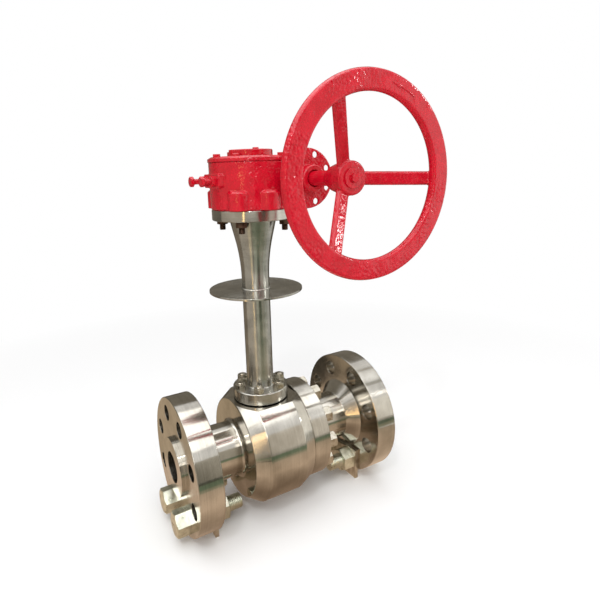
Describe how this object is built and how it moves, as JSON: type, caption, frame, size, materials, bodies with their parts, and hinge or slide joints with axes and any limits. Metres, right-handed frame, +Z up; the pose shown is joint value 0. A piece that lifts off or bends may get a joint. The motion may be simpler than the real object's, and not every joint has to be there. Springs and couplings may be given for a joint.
{
  "type": "cryogenic ball valve",
  "caption": "Flanged ball valve with a long extended bonnet, worm gear and handwheel; turning the wheel swings the ball open or shut.",
  "frame": {"origin": "centre of the ball, on the axis of the pipe bore", "axes": "+X along the pipe from the inlet flange to the outlet flange, +Z up the stem, handwheel on the -Y side"},
  "size_m": [0.3953, 0.3297, 0.6694],
  "materials": {
    "turned_steel": "turned",
    "bonnet_steel": "turned, dull",
    "inner_steel": "machined",
    "polished_steel": "polished",
    "bolting": "satin",
    "dark_bolting": "oiled black",
    "zinc_bolting": "zinc plated",
    "foot_steel": "rolled plate",
    "red_paint": "gloss over a sand casting",
    "shaft_paint": "gloss",
    "wheel_iron": "machined teeth",
    "graphite": "pressed graphite",
    "seat_plastic": "fluoropolymer",
    "bronze": "bronze",
    "seal_rubber": "moulded"
  },
  "bodies": {
    "valve_body": {"body": "turned_steel", "closure": "turned_steel", "bonnet": "bonnet_steel", "drip_plate": "bonnet_steel", "closure_gasket": "graphite", "bonnet_gasket": "graphite", "packing_rings": "graphite", "closure_studs": "bolting", "closure_nuts": "bolting", "bonnet_studs": "bolting", "bonnet_nuts": "bolting", "operator_studs": "dark_bolting", "operator_nuts": "dark_bolting", "inlet_seat_ring": "inner_steel", "outlet_seat_ring": "inner_steel", "inlet_seat_insert": "seat_plastic", "outlet_seat_insert": "seat_plastic", "inlet_seat_spring": "inner_steel", "outlet_seat_spring": "inner_steel", "lower_bushing": "bronze", "thrust_washer": "seat_plastic", "gland_follower": "inner_steel", "gland_screws": "bolting", "gear_housing": "red_paint", "gear_cover": "red_paint", "cover_bolts": "red_paint", "cover_gasket": "graphite", "wheel_lower_bush": "bronze", "wheel_upper_bush": "bronze", "worm_front_bush": "bronze", "worm_rear_bush": "bronze", "shaft_seal": "seal_rubber", "rear_cap": "red_paint", "rear_cap_screws": "red_paint", "stop_screws": "red_paint", "stop_nuts": "red_paint", "inlet_foot": "foot_steel", "outlet_foot": "foot_steel", "inlet_foot_bolts": "zinc_bolting", "outlet_foot_bolts": "zinc_bolting", "inlet_foot_nuts": "zinc_bolting", "outlet_foot_nuts": "zinc_bolting"},
    "ball_and_stem": {"ball": "polished_steel", "stem": "inner_steel", "worm_wheel": "wheel_iron", "stem_key": "inner_steel", "indicator_cap": "red_paint", "indicator_screw": "red_paint"},
    "handwheel_unit": {"worm_shaft": "shaft_paint", "handwheel": "red_paint", "handwheel_key": "inner_steel", "handwheel_washer": "red_paint", "handwheel_screw": "red_paint"}
  },
  "joints": [
    {"name": "handwheel_turn", "type": "hinge", "parent": "valve_body", "child": "handwheel_unit", "pos_m": [0.055, -0.1, 0.434], "axis": [0, 1, 0], "range_deg": [0, 3600]},
    {"name": "ball_turn", "type": "hinge", "parent": "valve_body", "child": "ball_and_stem", "pos_m": [0, 0, 0], "axis": [0, 0, -1], "range_deg": [0, 90]}
  ],
  "couplings": [
    {"joint": "ball_turn", "follows": "handwheel_turn", "ratio": 0.025}
  ]
}
